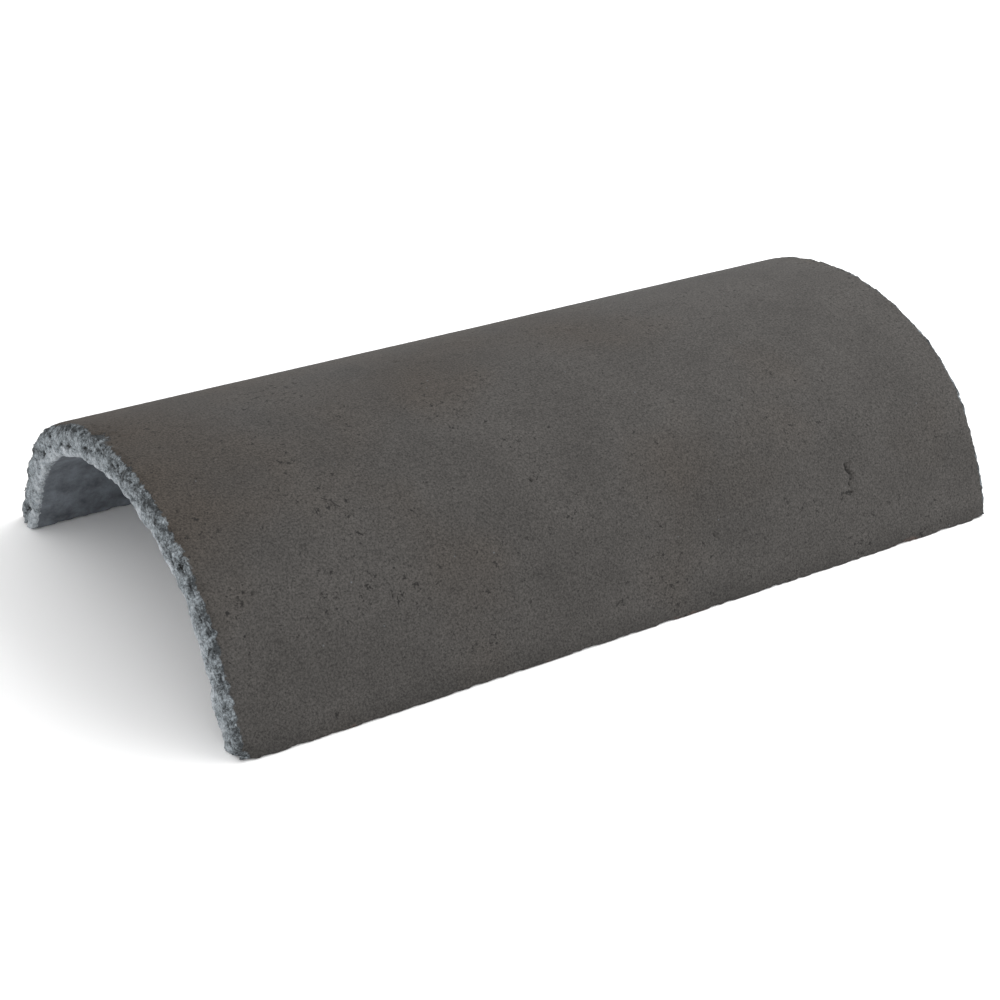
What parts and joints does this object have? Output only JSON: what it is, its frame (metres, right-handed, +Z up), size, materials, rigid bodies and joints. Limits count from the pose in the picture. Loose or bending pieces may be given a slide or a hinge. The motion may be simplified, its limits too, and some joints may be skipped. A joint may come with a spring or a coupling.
{
  "type": "half round ridge tile",
  "caption": "One-piece arched concrete ridge tile of even wall, with splayed legs and level feet; it caps the ridge or hip of a pitched roof.",
  "frame": {"origin": "middle of the tile, on the level plane of its two feet", "axes": "+X along the ridge line, +Y across the ridge, +Z up through the crown"},
  "size_m": [0.45, 0.2542, 0.096],
  "materials": {
    "concrete": "matte"
  },
  "bodies": {
    "root": {"ridge_tile": "concrete"}
  },
  "joints": []
}
